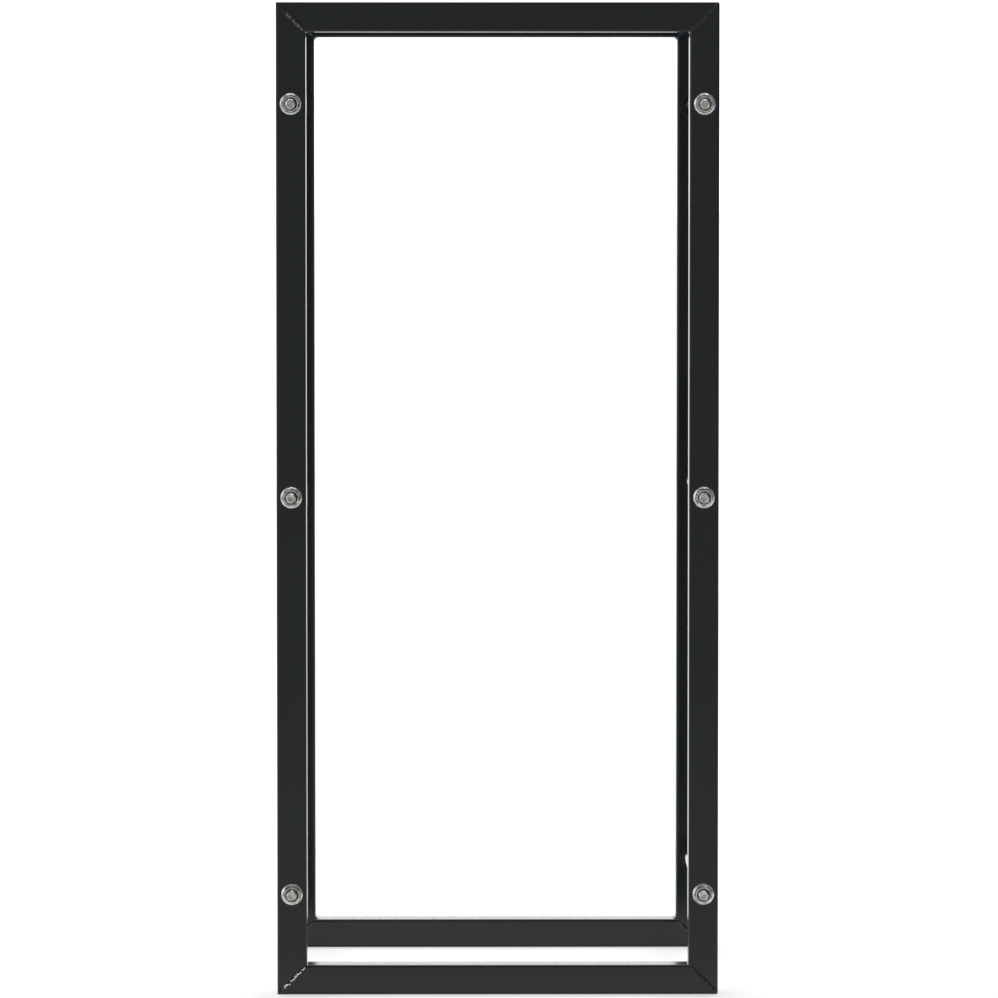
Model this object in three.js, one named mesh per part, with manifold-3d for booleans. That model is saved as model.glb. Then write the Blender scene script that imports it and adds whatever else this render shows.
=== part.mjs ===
// Firewood log rack: two welded frames of square steel tube, one behind the other, held
// apart by six round spacer tubes. A threaded tie rod runs through each spacer and both
// frames, with a flange nut on each end.
// Millimetres: X is the width, -Y the front, +Z up. The origin is on the floor, in the
// middle of the rack's footprint.
import * as THREE from "three";
import { mergeVertices } from "three/addons/utils/BufferGeometryUtils.js";
import Module from "manifold-3d";

// The rack as a whole, outside to outside of its frames
const rackWidth = 445;
const rackDepth = 400;
const rackHeight = 1000;

// Square tube of both frames
const tubeSize = 30;
const tubeWall = 1.5;
const tubeCorner = 2.5; // outside radius of its long edges

// Weld bead round each mitre
const weldWidth = 4;
const weldProud = 0.6; // height above the tube's front and back faces
const weldRoot = 0.5; // depth past the inside of the wall
const weldFillets = { front: 1.5, rear: 4 }; // leg of the fillet in a frame's inside corner
const weldFilletDepth = 0.4; // how far the fillet is let into the tubes' walls
const weldFilletEnd = 2; // from the fillet's end to the front or back face of the tube
const weldCrown = 0.5; // rise of its sloping edges
const weldShoulder = 1.3; // width of each sloping edge

// Tie rods and their places: one row at each end of the uprights and one at mid-height
const rodDiameter = 10;
const rodProud = 3; // length showing past the nut
const rodChamfer = 1.2;
const rodFromEnd = 102; // from the top and the bottom of the rack
const rodAboveMiddle = 3; // for the row at mid-height

// Round spacer tubes on the tie rods
const spacerWall = 2;
const spacerClearance = 1; // between the rod and the spacer, all round

// Flange nuts
const nutHeight = 10;
const nutFlatWall = 2.5; // from the rod to a flat
const nutCornerDrop = 1.4; // height over which the corners are chamfered away
const nutBoreChamfer = 0.9;
const flangeOverhang = 3.4; // from a flat to the flange's rim
const flangeRim = 1.4;
const flangeHeight = 3.6; // where its cone meets the hexagon

// Clearances
const fitGap = 0.3; // between pieces that touch
const holeClearance = 0.5; // between the rod and its hole in a tube, all round

// How round the round things are
const cornerSteps = 3;
const rodSides = 20;
const spacerSides = 24;
const nutSides = 24;

// Where each nut stopped when it was tight, in degrees, from the left bottom one upwards
const nutTurns = { left: [-2, 5, 0], right: [-15, 25, 10] };

const powderCoat = { color: 0x202325, roughness: 0.42, metalness: 0.1 };
const zincPlate = { color: 0xc9c7bf, roughness: 0.32, metalness: 1 };

const wasm = await Module();
wasm.setup();

// A three.js geometry as a solid that can be joined and cut.
function solidOf(geometry) {
  const bare = geometry.clone();
  bare.deleteAttribute("normal");
  bare.deleteAttribute("uv");
  const merged = mergeVertices(bare);
  return new wasm.Manifold(
    new wasm.Mesh({
      numProp: 3,
      vertProperties: merged.attributes.position.array,
      triVerts: new Uint32Array(merged.index.array),
    }),
  );
}

// A joined or cut solid as a three.js geometry with flat faces.
function geometryOf(solid) {
  const { vertProperties, triVerts } = solid.getMesh();
  const indexed = new THREE.BufferGeometry();
  indexed.setAttribute("position", new THREE.BufferAttribute(vertProperties, 3));
  indexed.setIndex(new THREE.BufferAttribute(triVerts, 1));
  const faceted = indexed.toNonIndexed();
  faceted.computeVertexNormals();
  return faceted;
}

// A rectangle with round corners, from left to right and half on each side of the X axis.
function roundedRectangle(Outline, left, right, half, radius) {
  const outline = new Outline();
  const quarter = Math.PI / 2;
  outline.absarc(right - radius, half - radius, radius, 0, quarter);
  outline.absarc(left + radius, half - radius, radius, quarter, 2 * quarter);
  outline.absarc(left + radius, radius - half, radius, 2 * quarter, 3 * quarter);
  outline.absarc(right - radius, radius - half, radius, 3 * quarter, 4 * quarter);
  outline.closePath();
  return outline;
}

// The weld bead round a mitre, or with a growth above 0 the room that it needs. It is a
// flat ring on the mitre plane: local X runs out to the frame's corner, local Y is the
// frame's depth, and local Z crosses the joint. A section along the mitre is the tube's
// own section, stretched by the root of two.
function weldRing(growth) {
  const outside = tubeSize / 2 + weldProud + growth;
  const root = tubeSize / 2 - tubeWall - weldRoot - growth;
  const ring = roundedRectangle(THREE.Shape, -outside, outside, outside, tubeCorner);
  ring.holes.push(roundedRectangle(THREE.Path, -root, root, root, tubeCorner - tubeWall));
  const flat = weldWidth + 2 * growth - 2 * weldShoulder;
  const geometry = new THREE.ExtrudeGeometry(ring, {
    depth: flat,
    curveSegments: cornerSteps,
    bevelThickness: weldShoulder,
    bevelSize: weldCrown,
    bevelOffset: -weldCrown,
    bevelSegments: 1,
  });
  geometry.translate(0, 0, -flat / 2);
  geometry.scale(Math.SQRT2, 1, 1);
  return geometry;
}

// The fillet in the frame's inside corner, let into both tubes so that their flat faces
// end where it starts, or with a growth above 0 its room. It is in the ring's own frame,
// and each point is placed by its distance along a tube and its depth in the wall.
function weldFilletWedge(fillet, growth) {
  const leg = fillet + growth;
  const depth = weldFilletDepth + growth;
  const outline = [
    [-depth, depth, 1],
    [leg, depth, 1],
    [leg, -growth, 1],
    [leg, -growth, -1],
    [leg, depth, -1],
  ].map(([along, down, side]) => {
    const x = (down - along - tubeSize) / Math.SQRT2;
    const y = (side * (along + down)) / Math.SQRT2;
    return new THREE.Vector2(x, y);
  });
  const length = tubeSize - 2 * weldFilletEnd + 2 * growth;
  const section = new THREE.Shape(outline);
  const wedge = new THREE.ExtrudeGeometry(section, { depth: length, bevelEnabled: false });
  wedge.translate(0, 0, -length / 2);
  wedge.rotateX(Math.PI / 2);
  return wedge;
}

// The bead itself, ground flush with the frame's outline at its corner.
function weldBead(fillet) {
  const block = 4 * tubeSize;
  const insideFrame = new THREE.BoxGeometry(block, block, block);
  insideFrame.rotateY(Math.PI / 4);
  insideFrame.translate((tubeSize - block) / Math.SQRT2, 0, 0);
  const ring = solidOf(weldRing(0)).intersect(solidOf(insideFrame));
  return geometryOf(ring.add(solidOf(weldFilletWedge(fillet, 0))));
}

// A square tube along local Z, mitred at both ends, with its long side at +X. holes are
// the places along Z where tie rods pass through it from front to back, and fillet is the
// leg of the fillets at its ends.
function mitredTube(length, holes, fillet) {
  const half = tubeSize / 2;
  const section = roundedRectangle(THREE.Shape, -half, half, half, tubeCorner);
  const inside = half - tubeWall;
  const bore = roundedRectangle(THREE.Path, -inside, inside, inside, tubeCorner - tubeWall);
  section.holes.push(bore);
  const geometry = new THREE.ExtrudeGeometry(section, {
    depth: length,
    curveSegments: cornerSteps,
    bevelEnabled: false,
  });
  geometry.translate(0, 0, -length / 2);
  const corners = geometry.attributes.position;
  for (let i = 0; i < corners.count; i++) {
    const end = Math.sign(corners.getZ(i));
    corners.setZ(i, end * (length / 2 - half + corners.getX(i)));
  }
  let tube = solidOf(geometry);
  for (const end of [-1, 1]) {
    for (const room of [weldRing(fitGap), weldFilletWedge(fillet, fitGap)]) {
      room.rotateY((-end * Math.PI) / 4);
      room.translate(0, 0, end * (length / 2 - half));
      tube = tube.subtract(solidOf(room));
    }
  }
  const holeRadius = rodDiameter / 2 + holeClearance;
  for (const place of holes) {
    const drill = new THREE.CylinderGeometry(holeRadius, holeRadius, 2 * tubeSize, rodSides);
    drill.translate(0, 0, place);
    tube = tube.subtract(solidOf(drill));
  }
  return geometryOf(tube);
}

// A bar turned about local Y with both ends chamfered.
function tieRod() {
  const radius = rodDiameter / 2;
  const half = rackDepth / 2 + fitGap + nutHeight + rodProud;
  const profile = [
    [0, -half],
    [radius - rodChamfer, -half],
    [radius, -half + rodChamfer],
    [radius, half - rodChamfer],
    [radius - rodChamfer, half],
    [0, half],
  ];
  return new THREE.LatheGeometry(pointsOf(profile), rodSides);
}

// A plain round tube about local Y that fits between the two frames.
function spacerTube() {
  const inner = rodDiameter / 2 + spacerClearance;
  const outer = inner + spacerWall;
  const half = rackDepth / 2 - tubeSize - fitGap;
  const profile = [
    [inner, -half],
    [outer, -half],
    [outer, half],
    [inner, half],
    [inner, -half],
  ];
  return new THREE.LatheGeometry(pointsOf(profile), spacerSides);
}

// A flange nut about local Y, standing on its flange at 0.
function flangeNut() {
  const bore = rodDiameter / 2 + fitGap;
  const flat = rodDiameter / 2 + nutFlatWall;
  const corner = flat / Math.cos(Math.PI / 6);
  const rim = flat + flangeOverhang;
  const hexagon = new THREE.CylinderGeometry(corner, corner, nutHeight, 6);
  hexagon.translate(0, nutHeight / 2, 0);
  const turned = new THREE.LatheGeometry(
    pointsOf([
      [0, 0],
      [corner, 0],
      [corner, nutHeight - nutCornerDrop],
      [flat, nutHeight],
      [0, nutHeight],
    ]),
    nutSides,
  );
  const flange = new THREE.LatheGeometry(
    pointsOf([
      [0, 0],
      [rim, 0],
      [rim, flangeRim],
      [flat, flangeHeight],
      [0, flangeHeight],
    ]),
    nutSides,
  );
  const drill = new THREE.LatheGeometry(
    pointsOf([
      [0, -nutHeight],
      [bore, -nutHeight],
      [bore, nutHeight - nutBoreChamfer],
      [bore + nutBoreChamfer, nutHeight],
      [bore + nutBoreChamfer, 2 * nutHeight],
      [0, 2 * nutHeight],
    ]),
    rodSides,
  );
  const outside = solidOf(hexagon).intersect(solidOf(turned)).add(solidOf(flange));
  return geometryOf(outside.subtract(solidOf(drill)));
}

function pointsOf(pairs) {
  return pairs.map(([x, y]) => new THREE.Vector2(x, y));
}

function piece(name, geometry, finish) {
  const mesh = new THREE.Mesh(geometry, new THREE.MeshStandardMaterial(finish));
  mesh.name = name;
  return mesh;
}

const rodHeights = {
  bottom: rodFromEnd,
  middle: rackHeight / 2 + rodAboveMiddle,
  top: rackHeight - rodFromEnd,
};
const tubeFromSide = rackWidth / 2 - tubeSize / 2;
const sides = { left: -1, right: 1 };
const ends = { bottom: -1, top: 1 };
const frames = { front: -1, rear: 1 };

const holesInUpright = Object.values(rodHeights).map((height) => height - rackHeight / 2);
const rodGeometry = tieRod();
const spacerGeometry = spacerTube();
const nutGeometry = flangeNut();

// One frame: two uprights, a top and a bottom rail, and a weld bead round each mitre. The
// long side of each tube faces out of the frame.
function weldedFrame(which) {
  const frame = new THREE.Group();
  const fillet = weldFillets[which];
  const uprightGeometry = mitredTube(rackHeight, holesInUpright, fillet);
  const railGeometry = mitredTube(rackWidth, [], fillet);
  const beadGeometry = weldBead(fillet);
  for (const [side, across] of Object.entries(sides)) {
    const upright = piece(`${which}_${side}_upright`, uprightGeometry, powderCoat);
    upright.position.x = across * tubeFromSide;
    upright.rotation.z = across > 0 ? 0 : Math.PI;
    frame.add(upright);
  }
  for (const [end, up] of Object.entries(ends)) {
    const fromMiddle = up * (rackHeight / 2 - tubeSize / 2);
    const rail = piece(`${which}_${end}_rail`, railGeometry, powderCoat);
    rail.position.z = fromMiddle;
    rail.rotation.y = (-up * Math.PI) / 2;
    frame.add(rail);
    for (const [side, across] of Object.entries(sides)) {
      const bead = piece(`${which}_${end}_${side}_weld`, beadGeometry, powderCoat);
      bead.position.set(across * tubeFromSide, 0, fromMiddle);
      bead.rotation.y = -Math.atan2(up, across);
      frame.add(bead);
    }
  }
  return frame;
}

// One row of fixings through both frames: the spacer tube, the tie rod and two nuts.
function tie(side, level, turn) {
  const group = new THREE.Group();
  group.add(piece(`${side}_${level}_spacer_tube`, spacerGeometry, powderCoat));
  group.add(piece(`${side}_${level}_tie_rod`, rodGeometry, zincPlate));
  for (const [which, back] of Object.entries(frames)) {
    const nut = piece(`${which}_${side}_${level}_nut`, nutGeometry, zincPlate);
    nut.position.y = back * (rackDepth / 2 + fitGap);
    nut.rotation.set(back > 0 ? 0 : Math.PI, THREE.MathUtils.degToRad(turn), 0);
    group.add(nut);
  }
  return group;
}

const rack = new THREE.Group();
for (const [which, back] of Object.entries(frames)) {
  const frame = weldedFrame(which);
  frame.position.set(0, back * (rackDepth / 2 - tubeSize / 2), rackHeight / 2);
  rack.add(frame);
}
for (const [side, across] of Object.entries(sides)) {
  Object.entries(rodHeights).forEach(([level, height], row) => {
    const fixings = tie(side, level, nutTurns[side][row]);
    fixings.position.set(across * tubeFromSide, 0, height);
    rack.add(fixings);
  });
}

export default rack;
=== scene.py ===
# A tall firewood log rack: two welded frames of black square tube, six round spacer tubes
# between them, and a tie rod with two flange nuts through each spacer. Metres; -Y is the
# front and +Z is up.
import math

import bmesh
import bpy
from mathutils import Matrix, Vector, noise


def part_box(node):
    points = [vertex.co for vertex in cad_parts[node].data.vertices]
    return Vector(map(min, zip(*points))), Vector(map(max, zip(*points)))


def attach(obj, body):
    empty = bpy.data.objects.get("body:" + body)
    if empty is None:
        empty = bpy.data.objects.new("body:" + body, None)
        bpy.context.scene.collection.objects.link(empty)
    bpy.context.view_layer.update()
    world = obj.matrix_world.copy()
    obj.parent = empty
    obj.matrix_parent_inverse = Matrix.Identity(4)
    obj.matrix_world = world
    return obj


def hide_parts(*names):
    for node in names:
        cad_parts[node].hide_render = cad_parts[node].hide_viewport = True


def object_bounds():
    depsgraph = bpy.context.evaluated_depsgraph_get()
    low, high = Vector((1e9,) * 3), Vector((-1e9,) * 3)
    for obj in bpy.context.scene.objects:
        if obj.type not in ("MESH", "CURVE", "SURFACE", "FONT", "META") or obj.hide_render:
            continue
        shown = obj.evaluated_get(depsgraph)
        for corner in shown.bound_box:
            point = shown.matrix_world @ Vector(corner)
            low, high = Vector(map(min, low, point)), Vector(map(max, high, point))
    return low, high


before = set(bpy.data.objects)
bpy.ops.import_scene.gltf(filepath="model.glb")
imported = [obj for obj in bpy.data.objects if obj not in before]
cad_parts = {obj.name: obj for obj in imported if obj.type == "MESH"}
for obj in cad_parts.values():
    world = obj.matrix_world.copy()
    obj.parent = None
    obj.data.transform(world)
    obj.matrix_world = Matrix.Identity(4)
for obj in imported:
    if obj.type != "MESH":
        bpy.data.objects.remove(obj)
cad_low, cad_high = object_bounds()
mm = 0.001

# ---------------------------------------------------------------------------------------
# The viewpoint: a long lens some way back, a little left of the middle and just under the
# height of the top rail, so that the rear frame shows inside the front one.
# ---------------------------------------------------------------------------------------
eye = Vector((-0.0354, -6.537, 0.872))
looking_down = math.radians(3.346)
looking_right = math.radians(0.332)

camera = bpy.data.objects.new("camera", bpy.data.cameras.new("camera"))
camera.data.lens = 227.7
camera.data.clip_end = 200
camera.location = eye
camera.rotation_euler = (math.pi / 2 - looking_down, 0, -looking_right)
bpy.context.scene.collection.objects.link(camera)
bpy.context.scene.camera = camera

# ---------------------------------------------------------------------------------------
# The two frames' square tubes: 30 mm steel tube with a 1.5 mm wall, cut to mitres, drilled
# through for the tie rods, welded and coated with satin black powder. The uprights' sides
# bulge a little where the nuts squeeze them, and the right corners are ground rounder.
# ---------------------------------------------------------------------------------------
rail_low, rail_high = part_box("front_top_rail")
tube = rail_high.z - rail_low.z
tube_wall = 1.5 * mm
tube_corner = 2.5 * mm
rack_width = cad_high.x - cad_low.x
rack_height = cad_high.z
frame_back = {"front": (rail_low.y + rail_high.y) / 2, "rear": -(rail_low.y + rail_high.y) / 2}
tube_across = {"left": tube / 2 - rack_width / 2, "right": rack_width / 2 - tube / 2}
rail_up = {"bottom": tube / 2, "top": rack_height - tube / 2}
levels = ("bottom", "middle", "top")
rod_up = {}
for level in levels:
    rod_low, rod_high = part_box(f"left_{level}_tie_rod")
    rod_up[level] = (rod_low.z + rod_high.z) / 2
rod_radius = (rod_high.z - rod_low.z) / 2
hole_radius = rod_radius + 0.5 * mm
side_bulge = 0.5 * mm
face_dent = 0.25 * mm
squeeze_reach = 14 * mm
squeeze_rings = 12  # cuts above and below each nut, for the bulge to bend at
squeeze_ring_step = 2.5 * mm
squeeze_bands = (-9 * mm, -6 * mm, -3 * mm, 0, 3 * mm, 6 * mm, 9 * mm)
ground_corner = {"left": 0.5 * mm, "right": 2.2 * mm}
grinding_cuts = (0.3, 0.6, 1)  # where the rounding bends, as shares of its radius


class Shade:
    """One value, colour or vector in a material, so that maths on it reads as maths."""

    def __init__(self, tree, socket=None):
        self.tree = tree
        self.socket = socket

    def node(self, kind, settings=None, output=0, **sockets):
        """A new node, set up and then fed, as the Shade of one of its outputs. Sockets are
        named in lower case with _ for a space, or numbered as _0, _1 and so on."""
        made = self.tree.nodes.new(kind)
        for name, value in (settings or {}).items():
            setattr(made, name, value)
        by_name = {
            socket.name.lower().replace(" ", "_"): socket for socket in reversed(made.inputs)
        }
        by_name |= {f"_{number}": socket for number, socket in enumerate(made.inputs)}
        for name, value in sockets.items():
            if isinstance(value, Shade):
                self.tree.links.new(value.socket, by_name[name])
            else:
                by_name[name].default_value = value
        return Shade(self.tree, made.outputs[output])

    def maths(self, operation, *values):
        fed = {f"_{number}": value for number, value in enumerate(values)}
        return self.node("ShaderNodeMath", {"operation": operation}, **fed)

    def __add__(self, other):
        return self.maths("ADD", self, other)

    def __radd__(self, other):
        return self.maths("ADD", other, self)

    def __sub__(self, other):
        return self.maths("SUBTRACT", self, other)

    def __rsub__(self, other):
        return self.maths("SUBTRACT", other, self)

    def __mul__(self, other):
        return self.maths("MULTIPLY", self, other)

    def __rmul__(self, other):
        return self.maths("MULTIPLY", other, self)

    def __pow__(self, other):
        return self.maths("POWER", self, other)

    def __abs__(self):
        return self.maths("ABSOLUTE", self)

    def least(self, other):
        return self.maths("MINIMUM", self, other)

    def rising(self, start, end):
        """0 below start, 1 above end, and a straight climb between them."""
        return self.node("ShaderNodeMapRange", value=self, from_min=start, from_max=end)

    def mixed(self, first, second):
        """A mix of two colours, with this value as the share of the second."""
        settings = {"data_type": "RGBA"}
        return self.node("ShaderNodeMix", settings, output=2, _0=self, _6=first, _7=second)

    def noise(self, scale, detail=2.0, roughness=0.5, **sockets):
        """Even noise from about 0.3 to 0.7 that follows this vector."""
        sockets |= {"scale": scale, "detail": detail, "roughness": roughness}
        return self.node("ShaderNodeTexNoise", vector=self, **sockets)


def new_material(name, base, roughness, metallic):
    """A material with these constants, its shader, and the place on the object as Shades."""
    material = bpy.data.materials.new(name)
    material.use_nodes = True
    shader = material.node_tree.nodes["Principled BSDF"]
    shader.inputs["Base Color"].default_value = (*base, 1)
    shader.inputs["Roughness"].default_value = roughness
    shader.inputs["Metallic"].default_value = metallic
    place = Shade(material.node_tree).node("ShaderNodeTexCoord", output=3)
    return material, shader, place


def feed(shader, **shades):
    """Links each Shade to the shader's socket of that name."""
    for name, shade in shades.items():
        shade.tree.links.new(shade.socket, shader.inputs[name.replace("_", " ").title()])


def from_rod_axis(place):
    """How far a point is from the axis of the tie rod nearest to it, in metres."""
    x = place.node("ShaderNodeSeparateXYZ", vector=place)
    z = place.node("ShaderNodeSeparateXYZ", output=2, vector=place)
    across = abs(x) - tube_across["right"]
    heights = [abs(z - up) for up in rod_up.values()]
    up = heights[0].least(heights[1]).least(heights[2])
    return (across * across + up * up) ** 0.5


def black_powder_coat(name, ior, roughest):
    """Satin black powder: a fine pebbled skin, faint dust on the faces that look up, and a
    rubbed ring where each nut's flange turned on it."""
    material, shader, place = new_material(name, (0.005, 0.0087, 0.0114), 0.18, 0)
    shader.inputs["IOR"].default_value = ior
    pebble = place.noise(620, detail=1.5)
    grain = place.noise(2600, detail=1)
    cloud = place.noise(9, detail=3, roughness=0.6)
    normal = place.node("ShaderNodeNewGeometry", output=1)
    up = place.node("ShaderNodeSeparateXYZ", output=2, vector=normal)
    dust = up.rising(0.6, 1) * place.noise(160, detail=4, roughness=0.65).rising(0.35, 0.75)
    axis = from_rod_axis(place)
    rubbed = axis.rising(0.0109, 0.0113) * (1 - axis.rising(0.0118, 0.0135))
    rubbed = rubbed * place.noise(700, detail=3, roughness=0.7).rising(0.45, 0.62)
    worn = (dust * 0.35 + rubbed * 0.5).least(1)
    colour = cloud.rising(0.35, 0.65).mixed((0.0045, 0.008, 0.0106, 1), (0.0055, 0.0094, 0.0122, 1))
    colour = worn.mixed(colour, (0.04, 0.039, 0.037, 1))
    roughness = cloud * 0.06 + worn * 0.3 + grain * 0.04 + (roughest - 0.06)
    relief = pebble + grain * 0.35
    bump = place.node("ShaderNodeBump", strength=0.3, distance=0.00001, height=relief)
    feed(shader, base_color=colour, roughness=roughness, normal=bump)
    return material


powder_coat = black_powder_coat("black_powder_coat", ior=1.45, roughest=0.17)


def add_piece(name, mesh, place, material, node, sharp=35):
    """Makes a bmesh into a finished piece at its place, in the stead of a CAD node."""
    bmesh.ops.transform(mesh, matrix=place, verts=mesh.verts[:])
    bmesh.ops.recalc_face_normals(mesh, faces=mesh.faces[:])
    for face in mesh.faces:
        face.smooth = True
    for edge in mesh.edges:
        edge.smooth = edge.calc_face_angle(0) < math.radians(sharp)
    data = bpy.data.meshes.new(name)
    mesh.to_mesh(data)
    data.materials.append(material)
    piece = bpy.data.objects.new(name, data)
    bpy.context.scene.collection.objects.link(piece)
    weighted = piece.modifiers.new("even_normals", "WEIGHTED_NORMAL")
    weighted.keep_sharp = True
    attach(piece, "root")
    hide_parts(node)
    return piece


def new_points(made):
    """The vertices that an extrude operator says it made."""
    return [item for item in made["geom"] if isinstance(item, bmesh.types.BMVert)]


def boolean(mesh, operation, other):
    """mesh joined with, kept inside or cut by other, as a new bmesh. Both are used up."""
    solids = []
    for part in (mesh, other):
        bmesh.ops.recalc_face_normals(part, faces=part.faces[:])
        data = bpy.data.meshes.new("part")
        part.to_mesh(data)
        part.free()
        solids.append(bpy.data.objects.new("part", data))
        bpy.context.scene.collection.objects.link(solids[-1])
    modifier = solids[0].modifiers.new("boolean", "BOOLEAN")
    modifier.operation = operation
    modifier.solver = "EXACT"
    modifier.object = solids[1]
    result = bmesh.new()
    result.from_object(solids[0], bpy.context.evaluated_depsgraph_get())
    for solid in solids:
        bpy.data.meshes.remove(solid.data)
    return result


def mitred_tube(length, squeezed, ground):
    """A hollow square tube along Z with its long side at +X, mitred at both ends. It is
    drilled and squeezed at the places given along it, and the sharp tips of its low and
    high ends are ground round to the two radii given."""
    mesh = bmesh.new()
    bmesh.ops.create_grid(mesh, x_segments=1, y_segments=1, size=tube / 2)
    bmesh.ops.bevel(
        mesh,
        geom=mesh.verts[:],
        offset=tube_corner,
        offset_type="OFFSET",
        segments=6,
        profile=0.5,
        affect="VERTICES",
        material=-1,
    )
    wall = bmesh.ops.inset_region(
        mesh, faces=mesh.faces[:], thickness=tube_wall, use_even_offset=True, use_boundary=True
    )
    bore = [face for face in mesh.faces if face not in wall["faces"]]
    bmesh.ops.delete(mesh, geom=bore, context="FACES")
    far_end = new_points(bmesh.ops.extrude_face_region(mesh, geom=mesh.faces[:]))
    bmesh.ops.translate(mesh, verts=far_end, vec=(0, 0, length))
    bmesh.ops.translate(mesh, verts=mesh.verts[:], vec=(0, 0, -length / 2))
    for vert in mesh.verts:
        vert.co.z = math.copysign(length / 2 - tube / 2 + vert.co.x, vert.co.z)

    def cut(point, normal):
        everything = mesh.verts[:] + mesh.edges[:] + mesh.faces[:]
        bmesh.ops.bisect_plane(mesh, geom=everything, plane_co=point, plane_no=normal)

    for end, radius in zip((-1, 1), ground):
        for share in grinding_cuts:
            cut((0, 0, end * (length / 2 - share * radius)), (0, 0, 1))
        for vert in mesh.verts:
            from_side = tube / 2 - vert.co.x
            from_end = length / 2 - end * vert.co.z
            if from_end < from_side + 0.001 * mm:
                least = max(from_end, radius * (1 - math.sqrt(0.5)))
                vert.co.x = tube / 2 - least
                vert.co.z = end * (length / 2 - least)
            elif from_end < radius:
                least = radius - math.sqrt(radius**2 - (radius - from_end) ** 2)
                vert.co.x = tube / 2 - max(from_side, least)
    if squeezed:
        for band in squeeze_bands:
            cut((band, 0, 0), (1, 0, 0))
            cut((0, band, 0), (0, 1, 0))
    for place in squeezed:
        for step in range(-squeeze_rings, squeeze_rings + 1):
            cut((0, 0, place + step * squeeze_ring_step), (0, 0, 1))
    for vert in mesh.verts:
        x, y, z = vert.co / (tube / 2)
        squeeze = sum(math.exp(-(((vert.co.z - place) / squeeze_reach) ** 2)) for place in squeezed)
        vert.co.x += side_bulge * squeeze * x**5 * math.cos(y * math.pi / 2) ** 2
        vert.co.y -= face_dent * squeeze * y**5 * math.cos(x * math.pi / 2) ** 2
    for place in squeezed:
        drill = bmesh.new()
        bmesh.ops.create_cone(
            drill,
            cap_ends=True,
            segments=32,
            radius1=hole_radius,
            radius2=hole_radius,
            depth=2 * tube,
            matrix=Matrix.Translation((0, 0, place)) @ Matrix.Rotation(math.pi / 2, 4, "X"),
        )
        mesh = boolean(mesh, "DIFFERENCE", drill)
    return mesh


for which, back in frame_back.items():
    for side, across in tube_across.items():
        drilled = [up - rack_height / 2 for up in rod_up.values()]
        upright = mitred_tube(rack_height, drilled, [ground_corner[side]] * 2)
        turn = Matrix.Rotation(0 if across > 0 else math.pi, 4, "Z")
        place = Matrix.Translation((across, back, rack_height / 2)) @ turn
        node = f"{which}_{side}_upright"
        add_piece(f"{node}_tube", upright, place, powder_coat, node)
    for end, up in rail_up.items():
        sides = ("right", "left") if end == "top" else ("left", "right")
        rail = mitred_tube(rack_width, [], [ground_corner[name] for name in sides])
        turn = Matrix.Rotation(-math.pi / 2 if end == "top" else math.pi / 2, 4, "Y")
        node = f"{which}_{end}_rail"
        place = Matrix.Translation((0, back, up)) @ turn
        add_piece(f"{node}_tube", rail, place, powder_coat, node)

# ---------------------------------------------------------------------------------------
# The welds: each mitre has one bead down its front, one down its back and a fillet in the
# frame's inside corner; the outside is ground flush. Some front beads were dressed down
# more than others before coating. Their highest ripples show bright bare steel, which is
# worn coat and painted glints both.
# ---------------------------------------------------------------------------------------
weld_coat = black_powder_coat("black_powder_coat_on_weld", ior=1.45, roughest=0.14)
weld_shader = weld_coat.node_tree.nodes["Principled BSDF"]
# Bright bare-steel specks on the bead crests: the coat worn off, and painted glints as well.
bare = Shade(weld_coat.node_tree).node("ShaderNodeAttribute", {"attribute_name": "bare"}, output=2)
covered = Shade(weld_coat.node_tree, weld_shader.inputs["Base Color"].links[0].from_socket)
bare_glint_steel = (0.82, 0.85, 0.87, 1)
feed(weld_shader, base_color=bare.mixed(covered, bare_glint_steel), metallic=bare)
bead_step = 0.3 * mm
bead_sides = 18
bead_root = 0.5 * mm
bead_ends = 4.6 * mm  # how much shorter a face bead is than its mitre
bead_shift = 0.2 * mm  # and how far it sits towards the outer corner
fillet_ends = 8 * mm
fillet_pitch = 3.2 * mm
fillet_legs = {"front": 0.6 * mm, "rear": 4 * mm}

# For each front mitre: the bead's half width and height, the depth and pitch of its
# ripples and how much of its height is left at the outer corner. Then how readily its
# crests show bright bare steel (worn coat that also serves as painted glints), how bright
# these specks are, and the share of the bead that they run to.
front_beads = {
    ("bottom", "left"): (2.4 * mm, 1.0 * mm, 0.8, 5.6 * mm, 0.8, (-0.36, 1, 0.76)),
    ("top", "left"): (3 * mm, 1.4 * mm, 0.9, 3.0 * mm, 0.2, (-0.3, 0.17, 0.6)),
    ("top", "right"): (2.4 * mm, 0.7 * mm, 0.8, 3.0 * mm, 0.4, (0.2, 0.03, 0.95)),
    ("bottom", "right"): (2.6 * mm, 1.3 * mm, 0.9, 2.8 * mm, 0.9, (-1.3, 0.3, 0.95)),
}
plain_bead = (2.2 * mm, 0.6 * mm, 0.45, 3.2 * mm, 0.8, (-0.8, 0.2, 0.9))


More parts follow.
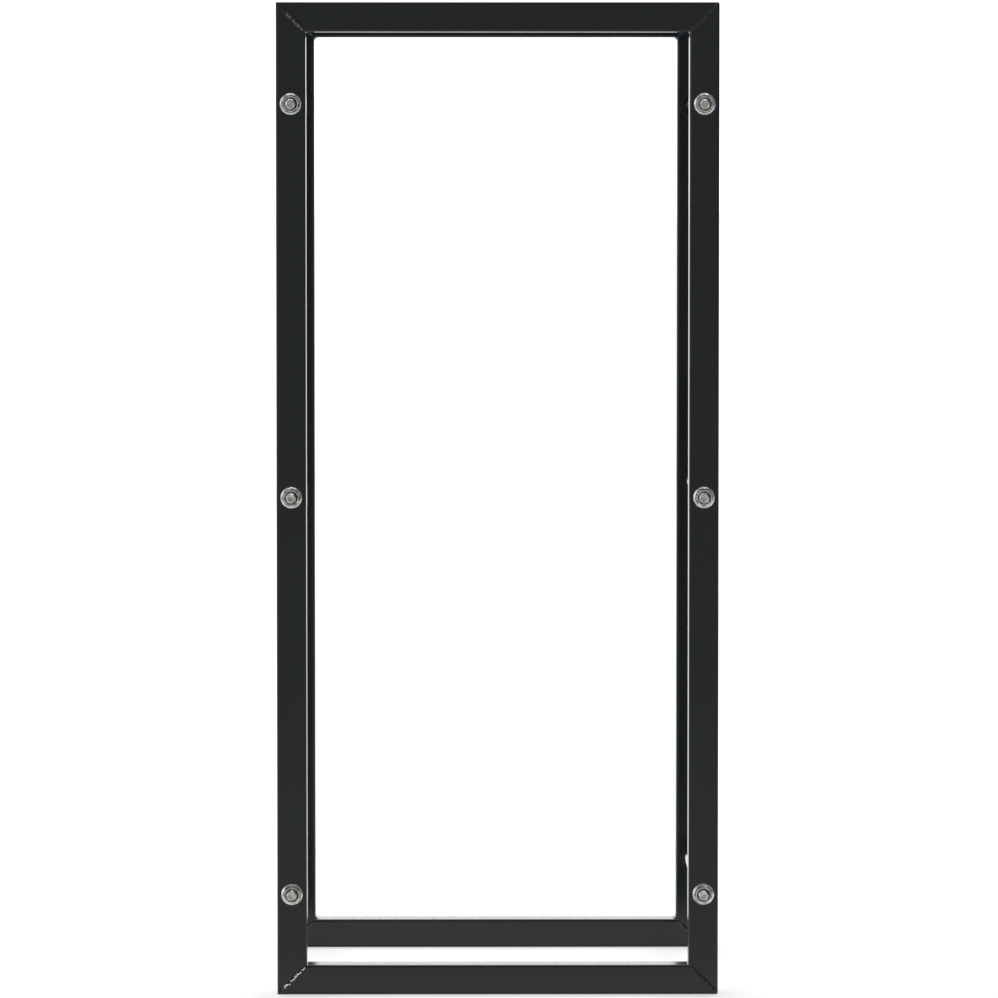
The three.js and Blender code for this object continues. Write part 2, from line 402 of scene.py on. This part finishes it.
def weld_bead(length, section, pitch, seed, worn=(-9, 0, 1)):
    """A rippled bead along Z, tapered at both ends. section gives a point of its outline
    from the share across, whether it is on the free side, the ripple and the place. The
    last argument is the last three values of front_beads, which set the bright bare-steel
    specks on the crests (worn coat and painted glints both); a bead is fully covered without it."""
    speck_readiness, glint_brightest, worn_to = worn
    mesh = bmesh.new()
    bare_glint_layer = mesh.verts.layers.float.new("bare")
    ring = bmesh.ops.create_circle(mesh, segments=bead_sides, radius=1)["verts"]
    loop = mesh.edges[:]
    rings = [ring]
    steps = round(length / bead_step)
    for _ in range(steps):
        made = bmesh.ops.extrude_edge_only(mesh, edges=loop)
        loop = [item for item in made["geom"] if isinstance(item, bmesh.types.BMEdge)]
        rings.append(new_points(made))
    for number, ring in enumerate(rings):
        along = number / steps
        distance = along * length
        wobble = noise.noise(Vector((distance / (4 * mm), seed, 0)))
        taper = (1 - abs(2 * along - 1) ** 9) ** 0.5
        drift = 0.3 * mm * noise.noise(Vector((distance / (5 * mm), seed, 9)))
        for vert in ring:
            free = vert.co.x > -0.001
            across = vert.co.y
            phase = distance / pitch + 0.3 * across**2 + 0.7 * wobble
            ripple = abs(math.sin(math.pi * phase)) ** 0.7
            rough = noise.noise(Vector((distance / mm, across * 2, seed)))
            x, y = section(across, free, ripple + 0.15 * rough, along)
            spot = noise.noise(Vector((distance / (2.5 * mm), across, seed + 30)))
            # Painted glints: crests that come up far enough are painted as bright bare steel, which
            # stands for worn coat as well.
            crest = ripple + 0.8 * rough + 1.8 * spot - 1.8 * abs(across + 0.1) + speck_readiness
            crest -= 8 * max(0, along - worn_to)
            vert[bare_glint_layer] = glint_brightest * min(1, max(0, 3 * crest)) if free else 0
            wide = 1 + 0.15 * wobble + 0.1 * rough
            vert.co = (x * taper, y * taper * wide + drift, distance - length / 2)
    for end in (rings[0], rings[-1]):
        middle = sum((vert.co for vert in end), Vector()) / len(end)
        bmesh.ops.pointmerge(mesh, verts=end, merge_co=middle)
    return mesh


def face_bead(half_width, height, ripple_depth, left_outside):
    """The outline of a bead on a flat face, as weld_bead asks for it."""

    def section(across, free, ripple, along):
        if not free:
            return -bead_root * (1 - across**2), half_width * across
        dressed = 1 + (left_outside - 1) * along
        lump = 1 - ripple_depth * (1 - ripple)
        return height * dressed * lump * (1 - abs(across) ** 1.4), half_width * across

    return section


def corner_fillet(leg):
    """The hollow outline of a fillet between two faces that meet at a right angle."""

    def section(across, free, ripple, along):
        if not free:
            return (leg * abs(across) - bead_root) / math.sqrt(2), leg * across / math.sqrt(2)
        turn = across * math.pi / 4
        hollow = leg * (math.sqrt(2) - math.cos(turn))
        return hollow + 0.06 * leg * ripple * (1 - across**2), leg * math.sin(turn)

    return section


def axes(along, out, origin):
    """The matrix that lays Z along one direction and X out along another, at a place."""
    side = along.cross(out)
    turn = Matrix((out, side, along)).transposed().to_4x4()
    return Matrix.Translation(origin) @ turn


def join(mesh, other, place):
    """Adds another bmesh to this one, at its place, and uses it up."""
    bmesh.ops.transform(other, matrix=place, verts=other.verts[:])
    data = bpy.data.meshes.new("part")
    other.to_mesh(data)
    other.free()
    mesh.from_mesh(data)
    bpy.data.meshes.remove(data)


mitre_length = tube * math.sqrt(2)
for number, (which, back) in enumerate(frame_back.items()):
    for end, up in rail_up.items():
        for side, across in tube_across.items():
            centre = Vector((across, back, up))
            outward = Vector((across, 0, up - rack_height / 2))
            outward = Vector((math.copysign(1, outward.x), 0, math.copysign(1, outward.z)))
            outward.normalize()
            seed = 17 * number + 5 * (end == "top") + 2 * (side == "left")
            beads = bmesh.new()
            for facing in (-1, 1):
                outside = facing * back > 0
                shape = front_beads[end, side] if which == "front" and facing < 0 else plain_bead
                half_width, height, ripple_depth, pitch, left_outside, worn = shape
                outline = face_bead(half_width, height, ripple_depth, left_outside)
                length = mitre_length - bead_ends
                bead = weld_bead(length, outline, pitch, seed + 3 * outside, worn)
                face = Vector((0, facing, 0))
                middle = centre + face * tube / 2 + outward * bead_shift
                join(beads, bead, axes(outward, face, middle))
            outline = corner_fillet(fillet_legs[which])
            fillet = weld_bead(tube - fillet_ends, outline, fillet_pitch, seed + 7)
            corner = centre - outward * mitre_length / 2
            join(beads, fillet, axes(Vector((0, 1, 0)), -outward, corner))
            node = f"{which}_{end}_{side}_weld"
            in_place = Matrix.Identity(4)
            add_piece(
                f"{node}_beads", beads, in_place, weld_coat, node, sharp=70
            )

# ---------------------------------------------------------------------------------------
# The spacer tubes: 16 mm round steel tube with a 2 mm wall, cut square, deburred and given
# the same black coat, a little glossier. The tie rods' nuts clamp them between the frames.
# ---------------------------------------------------------------------------------------
spacer_coat = black_powder_coat("black_powder_coat_on_spacers", ior=1.45, roughest=0.07)
spacer_wall = 2 * mm
spacer_deburr = 0.35 * mm
spacer_steps = 64


def spacer_tube(radius, length):
    """A round tube about Y, spun from the section of its wall."""
    mesh = bmesh.new()
    bmesh.ops.create_grid(mesh, x_segments=1, y_segments=1, size=0.5)
    bmesh.ops.scale(mesh, vec=(spacer_wall, length, 1), verts=mesh.verts[:])
    bmesh.ops.translate(mesh, vec=(radius - spacer_wall / 2, 0, 0), verts=mesh.verts[:])
    bmesh.ops.bevel(
        mesh,
        geom=mesh.verts[:],
        offset=spacer_deburr,
        offset_type="OFFSET",
        segments=3,
        profile=0.5,
        affect="VERTICES",
        material=-1,
    )
    bmesh.ops.delete(mesh, geom=mesh.faces[:], context="FACES_ONLY")
    spin_full(mesh, Vector((0, 1, 0)), spacer_steps)
    return mesh


def spin_full(mesh, axis, steps):
    """Spins every edge of the mesh once round an axis through the origin, and closes it."""
    bmesh.ops.spin(
        mesh,
        geom=mesh.verts[:] + mesh.edges[:],
        cent=(0, 0, 0),
        axis=axis,
        angle=2 * math.pi,
        steps=steps,
        use_merge=True,
    )
    bmesh.ops.remove_doubles(mesh, verts=mesh.verts[:], dist=0.001 * mm)


for side, across in tube_across.items():
    for level, up in rod_up.items():
        node = f"{side}_{level}_spacer_tube"
        spacer_low, spacer_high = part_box(node)
        radius = (spacer_high.z - spacer_low.z) / 2
        mesh = spacer_tube(radius, spacer_high.y - spacer_low.y)
        place = Matrix.Translation((across, 0, up))
        add_piece(f"{node}_turned", mesh, place, spacer_coat, node)

# ---------------------------------------------------------------------------------------
# The tie rods: 10 mm steel bar with a rolled 1.5 mm thread on each end, chamfered, with a
# slightly hollow sheared face, and zinc plated. About 3 mm stands out of each nut.
# ---------------------------------------------------------------------------------------
thread_pitch = 1.5 * mm
thread_depth = 0.75 * mm
thread_length = 24 * mm
thread_steps = 8
rod_chamfer = 1.2 * mm
rod_sides = 40
face_hollow = 0.45 * mm


def zinc_plate(name, base, shine, dent):
    """Bright zinc plate: silvery, dulled in patches and a little dented, with fine rings
    from turning and rubbing round the rod's axis."""
    material, shader, place = new_material(name, base, 0.3, 1)
    axis = from_rod_axis(place)
    patches = place.noise(240, detail=4, roughness=0.6)
    specks = place.noise(1500, detail=2)
    rings = place.node("ShaderNodeTexNoise", {"noise_dimensions": "1D"}, w=axis * 4200, detail=2.0)
    dents = place.noise(380, detail=1.5, roughness=0.6, distortion=0.6)
    dull = tuple(0.62 * channel for channel in base)
    dark = (dull[0] * 0.9, dull[1] * 0.88, dull[2] * 0.8, 1)
    colour = patches.rising(0.35, 0.62).mixed((*base, 1), (*dull, 1))
    colour = specks.rising(0.62, 0.74).mixed(colour, dark)
    roughness = patches * 0.15 + specks * 0.06 + shine
    relief = rings * 0.1 + specks * 0.05 + dents
    bump = place.node("ShaderNodeBump", strength=0.9, distance=dent, height=relief)
    feed(shader, base_color=colour, roughness=roughness, normal=bump)
    return material


zinc_on_rods = zinc_plate("zinc_plate_on_rods", (0.65, 0.655, 0.6), shine=0.1, dent=0.6 * mm)


def tie_rod(length):
    """A bar about Z, threaded on both ends. One half is drawn from its middle outwards, and
    the other is the same half turned end for end."""
    mesh = bmesh.new()
    half = length / 2
    thread_start = half - thread_length
    face_radius = rod_radius - rod_chamfer
    turns = round(thread_length / thread_pitch * thread_steps)
    rows = [(0, rod_radius), (thread_start - thread_depth, rod_radius)]
    rows += [(thread_start + thread_length * row / turns, rod_radius) for row in range(turns + 1)]
    rows += [(half, 0.93 * face_radius)]
    rows += [(half - face_hollow * (1 - ring**2), face_radius * ring) for ring in (0.75, 0.5, 0.25)]
    bmesh.ops.create_circle(mesh, segments=rod_sides, radius=1)
    loop = mesh.edges[:]
    circle = mesh.verts[:]
    for row, (z, radius) in enumerate(rows):
        if row:
            made = bmesh.ops.extrude_edge_only(mesh, edges=loop)
            loop = [item for item in made["geom"] if isinstance(item, bmesh.types.BMEdge)]
            circle = new_points(made)
        for vert in circle:
            angle = math.atan2(vert.co.y, vert.co.x)
            turn = (z / thread_pitch - angle / (2 * math.pi)) % 1
            groove = min(1, max(0, 1.25 * abs(2 * turn - 1) - 0.125))
            in_thread = min(1, max(0, (z - thread_start) / thread_pitch))
            reach = radius
            if z > half - rod_chamfer:
                reach = min(radius, face_radius + max(0, half - z))
            if z >= thread_start and radius == rod_radius:
                reach = min(reach, rod_radius - thread_depth * groove * in_thread)
            vert.co = (reach * math.cos(angle), reach * math.sin(angle), z)
    bmesh.ops.pointmerge(mesh, verts=circle, merge_co=(0, 0, half - face_hollow))
    other_half = mesh.copy()
    join(mesh, other_half, Matrix.Rotation(math.pi, 4, "X"))
    bmesh.ops.remove_doubles(mesh, verts=mesh.verts[:], dist=0.001 * mm)
    return mesh


for side, across in tube_across.items():
    for level, up in rod_up.items():
        node = f"{side}_{level}_tie_rod"
        rod_low, rod_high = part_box(node)
        mesh = tie_rod(rod_high.y - rod_low.y)
        place = Matrix.Translation((across, 0, up)) @ Matrix.Rotation(-math.pi / 2, 4, "X")
        add_piece(f"{node}_threaded", mesh, place, zinc_on_rods, node, sharp=50)

# ---------------------------------------------------------------------------------------
# The flange nuts: pressed steel hexagon nuts, 15 mm across flats, with a coned flange that
# spreads the load on the tube's face. They are zinc plated, and each stopped at its own
# angle when it was tight.
# ---------------------------------------------------------------------------------------
flat_radius = 7.5 * mm
nut_crown_slope = math.radians(18)
bore_mouth = 1.3 * mm
bore_clearance = 0.12 * mm
dish_bottom = 1.5 * mm  # the heights of the flange's dish and of the crest round it
dish_crest = 2.6 * mm
soft_edge = 0.22 * mm
sharpest_left = math.radians(28)  # edges that turn by more than this are softened
nut_turns = {"left": (-2, 5, 0), "right": (-15, 25, 10)}
zinc_on_nuts = zinc_plate("zinc_plate_on_nuts", (0.75, 0.775, 0.755), shine=0.07, dent=0.35 * mm)


def turned(profile, steps=72):
    """A solid spun about Z from its (radius, height) points, which run from axis to axis."""
    mesh = bmesh.new()
    points = [mesh.verts.new((radius, 0, height)) for radius, height in profile]
    for first, second in zip(points, points[1:]):
        mesh.edges.new((first, second))
    spin_full(mesh, Vector((0, 0, 1)), steps)
    return mesh


def flange_nut(height, rim, seat):
    """A flange nut about Z, with a dish between its hexagon and its flange. The flange
    reaches down to the tube's face, at -seat."""
    corner = flat_radius / math.cos(math.pi / 6)
    hexagon = bmesh.new()
    bmesh.ops.create_cone(
        hexagon,
        cap_ends=True,
        segments=6,
        radius1=corner,
        radius2=corner,
        depth=height,
        matrix=Matrix.Translation((0, 0, height / 2)),
    )
    crown_start = flat_radius - 0.2 * mm
    crown = turned(
        [
            (0, -mm),
            (corner + mm, -mm),
            (corner + mm, height - (corner + mm - crown_start) * math.tan(nut_crown_slope)),
            (crown_start, height),
            (0, height),
        ]
    )
    flange = turned(
        [
            (0, -seat),
            (rim - 0.35 * mm, -seat),
            (rim, 0.25 * mm),
            (rim, 0.95 * mm),
            (rim - 0.12 * mm, 1.25 * mm),
            (rim - 0.4 * mm, 1.5 * mm),
            (flat_radius + 1.7 * mm, dish_crest),
            (flat_radius + 1.5 * mm, dish_crest),
            (flat_radius + 0.3 * mm, dish_bottom),
            (0, dish_bottom),
        ]
    )
    bore = rod_radius + bore_clearance
    drill = turned(
        [
            (0, -height),
            (bore, -height),
            (bore, height - bore_mouth),
            (bore + bore_mouth, height),
            (bore + bore_mouth, 2 * height),
            (0, 2 * height),
        ]
    )
    body = boolean(boolean(hexagon, "INTERSECT", crown), "UNION", flange)
    return boolean(body, "DIFFERENCE", drill)


for which, back in frame_back.items():
    for side, across in tube_across.items():
        for level, up, turn in zip(levels, rod_up.values(), nut_turns[side]):
            node = f"{which}_{side}_{level}_nut"
            nut_low, nut_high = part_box(node)
            rim = (nut_high.x - nut_low.x) / 2
            face = nut_high.y if back < 0 else nut_low.y
            seat = abs(face) - abs(back) - tube / 2
            mesh = flange_nut(nut_high.y - nut_low.y, rim, seat)
            outwards = Matrix.Rotation(math.copysign(math.pi / 2, -back), 4, "X")
            place = Matrix.Translation((across, face, up)) @ outwards
            place = place @ Matrix.Rotation(math.radians(turn), 4, "Z")
            name = f"{node}_pressed"
            nut = add_piece(name, mesh, place, zinc_on_nuts, node, sharp=25)
            soft = nut.modifiers.new("soft_edges", "BEVEL")
            soft.width = soft_edge
            soft.segments = 2
            soft.limit_method = "ANGLE"
            soft.angle_limit = sharpest_left
            nut.modifiers.move(1, 0)

# ---------------------------------------------------------------------------------------
# The studio: a pale floor that glows with painted light of its own, brighter from the rack
# backwards, and soft white light from above, behind and the left. The room in front of the
# rack is left dim, so that the black coat keeps its depth.
# ---------------------------------------------------------------------------------------
floor_reach = 60
floor_mesh = bmesh.new()
bmesh.ops.create_grid(floor_mesh, x_segments=1, y_segments=1, size=floor_reach)
floor_data = bpy.data.meshes.new("floor")
floor_mesh.to_mesh(floor_data)
floor = bpy.data.objects.new("floor", floor_data)
bpy.context.scene.collection.objects.link(floor)
pale, pale_shader, floor_place = new_material("pale_floor", (0.6, 0.6, 0.6), 0.9, 0)
# Painted light: the floor glows with its own emission. It is dim in front, brighter from just
# before the rack and brightest far behind it.
floor_back = floor_place.node("ShaderNodeSeparateXYZ", output=1, vector=floor_place)
at_the_rack = floor_back.rising(-0.5, -0.2)
far_behind = floor_back.rising(0.5, 6)
painted_glow = at_the_rack * 0.32 + far_behind * 0.5 + 0.17
feed(pale_shader, emission_color=painted_glow.mixed((0, 0, 0, 1), (1, 1, 1, 1)))
pale_shader.inputs["Emission Strength"].default_value = 1
floor_data.materials.append(pale)

world = bpy.data.worlds.new("studio")
world.use_nodes = True
bpy.context.scene.world = world
background = world.node_tree.nodes["Background"]
direction = Shade(world.node_tree).node("ShaderNodeTexCoord", output=0)
sideways = direction.node("ShaderNodeSeparateXYZ", output=0, vector=direction)
backwards = direction.node("ShaderNodeSeparateXYZ", output=1, vector=direction)
upwards = direction.node("ShaderNodeSeparateXYZ", output=2, vector=direction)
seen = direction.node("ShaderNodeLightPath", output=0)
facing = backwards.rising(-0.85, -0.97)
behind = backwards.rising(0.7, 0.95)
left_side = sideways.rising(-0.35, -0.8) * (1 - abs(upwards).rising(0.45, 0.8))
room = 0.25 + facing * 0.19 + behind * 1.4 + left_side * 1.1
world.node_tree.links.new(room.maths("MAXIMUM", room, seen).socket, background.inputs["Strength"])
background.inputs["Color"].default_value = (1, 1, 1, 1)


def soft_box(name, place, aim, width, height, power):
    """A large square lamp at a place, turned towards a point."""
    lamp = bpy.data.lights.new(name, "AREA")
    lamp.shape = "RECTANGLE"
    lamp.size = width
    lamp.size_y = height
    lamp.energy = power
    holder = bpy.data.objects.new(name, lamp)
    holder.location = place
    holder.rotation_euler = (Vector(aim) - Vector(place)).to_track_quat("-Z", "Y").to_euler()
    bpy.context.scene.collection.objects.link(holder)


rack_middle = (0, 0, rack_height / 2)
soft_box("overhead", (0, 1, 3.3), rack_middle, 3, 3, 98)

bpy.context.scene.view_settings.view_transform = "Standard"
